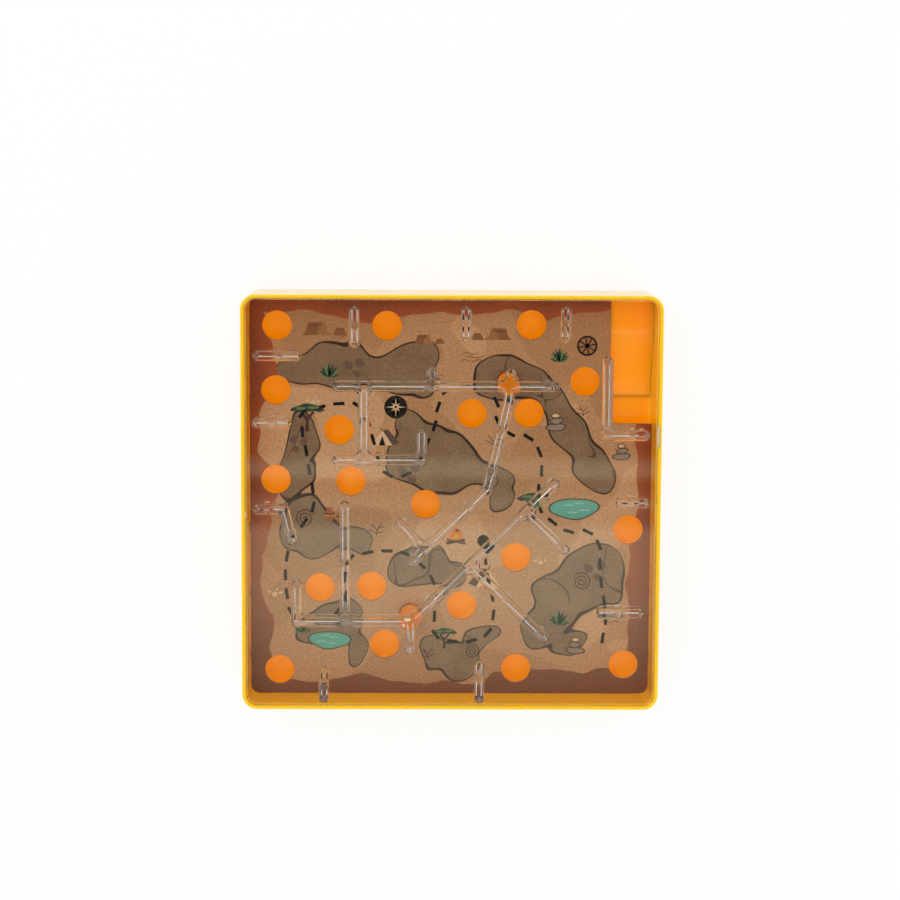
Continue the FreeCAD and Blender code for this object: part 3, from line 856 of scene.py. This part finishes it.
# drawing, x, y, scale, mirrored
drawings = [
    (hollows, -57, 21, 0.8, False), (hollows, -33, 49, 0.9, True), (hollows, -13, 11, 1.0, True),
    (hollows, 55, -25, 1.0, True), (mesa, -47, 59, 1.0, False), (mesa, 15.5, 57.5, 0.9, True),
    (mesa, -9, 56, 0.7, False), (wheel, 49, 55.5, 1.0, False), (acacia, -52, 24, 1.15, False),
    (agave, -44, 44, 1.0, False), (compass, -20, 33, 0.95, False), (tent, -25, 19, 0.85, False),
    (pebbles, -50, 34.5, 1.0, False), (ripples, 8, 50, 1.0, False), (cairn, 38, 24.5, 1.0, False),
    (agave, 39, 50, 0.95, True), (twig, 15, 19, 1.1, False), (fossil, 14.5, 6, 1.0, False),
    (fossil, -53, -8, 1.1, True), (twig, -27, -14, 1.2, False), (pot, -44, -9, 1.0, False),
    (pot, -40.2, -9.6, 0.8, False), (pool, 45, -4, 1.0, False), (acacia, 30, -8, 1.1, True),
    (campfire, 2, -17, 1.1, False), (tent, 14, -33, 1.0, True), (fossil, 48, -31, 1.1, False),
    (agave, 40, -47, 1.05, False), (cairn, 46, -58, 0.95, True), (ripples, 58, -46, 0.9, True),
    (pool, -44, -53, 0.85, True), (agave, -54, -50, 0.9, False), (twig, -8, -60, 1.1, True),
    (fossil, 8, -57, 0.95, False), (acacia, -2, -56, 0.85, False), (ripples, -22, -45.5, 0.5, False),
    (pebbles, 33, -24, 0.9, True), (cairn, 62, 14, 0.9, False), (ripples, -6, 42, 0.9, True),
    (twig, 48, 30, 1.0, True), (pebbles, -64, -36, 1.0, False), (ripples, -40, 58, 0.6, False),
]


def makeInk():
    # offset ink on the same satin paper, a little denser than the ground print
    material, tree = newMaterial("offsetInkOnSatinPaper")
    place = addNode(tree, "ShaderNodeTexCoord").outputs["Object"]
    ink = addNode(tree, "ShaderNodeAttribute", attribute_name="ink").outputs["Color"]
    dots = addNode(tree, "ShaderNodeTexNoise", {"Vector": place, "Scale": 2400.0, "Detail": 2.0})
    grain = addNode(tree, "ShaderNodeMapRange", {
        "Value": dots.outputs["Fac"], "From Min": 0.3, "From Max": 0.7, "To Min": 0.86, "To Max": 1.12}).outputs[0]
    colour = addNode(tree, "ShaderNodeVectorMath", {0: ink, 1: grain}, operation="MULTIPLY").outputs[0]
    shader = addNode(tree, "ShaderNodeBsdfPrincipled", {
        "Base Color": colour, "Roughness": 0.5, "Specular IOR Level": 0.2})
    finishMaterial(tree, shader.outputs[0])
    return material


def makeDrawings():
    bm = bmesh.new()
    tint = bm.loops.layers.float_color.new("ink")
    for draw, x, y, scale, mirrored in drawings:
        layer, before = 0, None
        for ink, outline in draw():
            layer, before = layer + (ink != before), ink
            side = -1 if mirrored else 1
            flat = [(x + px * scale * side, y + py * scale) for px, py in outline]
            area = sum(a[0] * b[1] - a[1] * b[0] for a, b in zip(flat, flat[1:] + flat[:1]))
            flat = flat if area > 0 else flat[::-1]
            high = (boardTop + inkThickness * layer) * mm
            upper = [bm.verts.new((px * mm, py * mm, high)) for px, py in flat]
            lower = [bm.verts.new((px * mm, py * mm, (boardTop - 0.01) * mm)) for px, py in flat]
            faces = [bm.faces.new(upper), bm.faces.new(lower[::-1])]
            faces += [bm.faces.new((lower[i - 1], lower[i], upper[i], upper[i - 1])) for i in range(len(upper))]
            for face in faces:
                for loop in face.loops:
                    loop[tint] = linear(inks[ink])
    bmesh.ops.triangulate(bm, faces=[f for f in bm.faces if len(f.verts) > 4])
    mesh = bpy.data.meshes.new("printedDrawings")
    bm.to_mesh(mesh)
    bm.free()
    piece = newPiece("printedDrawings", mesh, "case")
    setMaterial(piece, makeInk())


makeDrawings()
print("drawings added:", len(drawings))

# dashed route, printed
route = {
    "Pitch": 6.9 * mm,
    "Dash length": 4.1 * mm,
    "Dash width": 1.2 * mm,
    "Thickness": 0.06 * mm,
}
endDot = 2.2 * mm      # radius of the round mark at the route's end
routePoints = [
    (56, -52), (57, -44), (55, -30), (53, -14), (42, -12), (32, -3), (33, 10), (30, 21), (18, 25), (16, 36),
    (8, 41), (-3, 38), (-6, 26), (-14, 10), (-22, 8), (-26, 14), (-33, 33), (-46, 33), (-54, 30), (-52, 14), (-50, -4),
    (-58, -16), (-60, -32), (-56, -46), (-44, -45), (-38, -36), (-38, -24), (-26, -20), (-14, -22), (-5, -34),
    (-6, -48), (-2, -53), (12, -52), (16, -42), (13.5, -28), (12, -16),
]


def smoothLine(points, steps=8):
    result = []
    padded = [points[0]] + points + [points[-1]]
    for a, b, c, d in zip(padded, padded[1:], padded[2:], padded[3:]):
        for k in range(steps):
            t = k / steps
            result.append(tuple(0.5 * (2 * q + (r - p) * t + (2 * p - 5 * q + 4 * r - s) * t * t
                                       + (3 * q - p - 3 * r + s) * t ** 3) for p, q, r, s in zip(a, b, c, d)))
    return result + [points[-1]]


def makeRoute():
    line = smoothLine(routePoints)
    bm = bmesh.new()
    path = [bm.verts.new((x * mm, y * mm, (boardTop + 0.02) * mm)) for x, y in line]
    for a, b in zip(path, path[1:]):
        bm.edges.new((a, b))
    carrier = meshObject("routeLine", bm)
    group = bpy.data.node_groups.new("dashedLine", "GeometryNodeTree")
    face = group.interface
    face.new_socket(name="Geometry", in_out="INPUT", socket_type="NodeSocketGeometry")
    for name in route:
        face.new_socket(name=name, in_out="INPUT", socket_type="NodeSocketFloat")
    face.new_socket(name="Material", in_out="INPUT", socket_type="NodeSocketMaterial")
    face.new_socket(name="Geometry", in_out="OUTPUT", socket_type="NodeSocketGeometry")
    given = addNode(group, "NodeGroupInput").outputs
    curve = addNode(group, "GeometryNodeMeshToCurve", {"Mesh": given["Geometry"]}).outputs["Curve"]
    even = addNode(group, "GeometryNodeResampleCurve", {"Curve": curve, "Length": given["Pitch"]}, mode="LENGTH")
    size = addNode(group, "ShaderNodeCombineXYZ", {
        "X": given["Dash length"], "Y": given["Dash width"], "Z": given["Thickness"]}).outputs[0]
    dash = addNode(group, "GeometryNodeMeshCube", {"Size": size}).outputs["Mesh"]
    turn = addNode(group, "FunctionNodeAlignRotationToVector", {
        "Vector": addNode(group, "GeometryNodeInputTangent").outputs[0]}, axis="X").outputs["Rotation"]
    copies = addNode(group, "GeometryNodeInstanceOnPoints", {
        "Points": even.outputs["Curve"], "Instance": dash, "Rotation": turn}).outputs["Instances"]
    solid = addNode(group, "GeometryNodeRealizeInstances", {"Geometry": copies}).outputs[0]
    inked = addNode(group, "GeometryNodeSetMaterial", {"Geometry": solid, "Material": given["Material"]}).outputs[0]
    addNode(group, "NodeGroupOutput", {"Geometry": inked})
    modifier = carrier.modifiers.new("dashes", "NODES")
    modifier.node_group = group
    black, tree = newMaterial("blackRouteInkOnSatinPaper")
    # the route is overprinted in solid black
    shader = addNode(tree, "ShaderNodeBsdfPrincipled", {
        "Base Color": linear("#0E0A08"), "Roughness": 0.5, "Specular IOR Level": 0.2})
    finishMaterial(tree, shader.outputs[0])
    for item in face.items_tree:
        if item.in_out == "INPUT" and item.name in route:
            modifier[item.identifier] = route[item.name]
        elif item.in_out == "INPUT" and item.name == "Material":
            modifier[item.identifier] = black
    graph = bpy.context.evaluated_depsgraph_get()
    mesh = bpy.data.meshes.new_from_object(carrier.evaluated_get(graph))
    mesh.name = "printedRoute"
    bpy.data.objects.remove(carrier)
    bm = bmesh.new()
    bm.from_mesh(mesh)
    x, y = routePoints[-1]
    ends = bmesh.ops.create_cone(bm, cap_ends=True, segments=28, radius1=endDot, radius2=endDot,
                                 depth=route["Thickness"])["verts"]
    bmesh.ops.translate(bm, verts=ends, vec=(x * mm, y * mm, (boardTop + 0.02) * mm))
    bm.to_mesh(mesh)
    bm.free()
    piece = newPiece("printedRoute", mesh, "case")
    setMaterial(piece, black)
    for polygon in mesh.polygons:
        polygon.material_index = 0


makeRoute()
print("route printed")
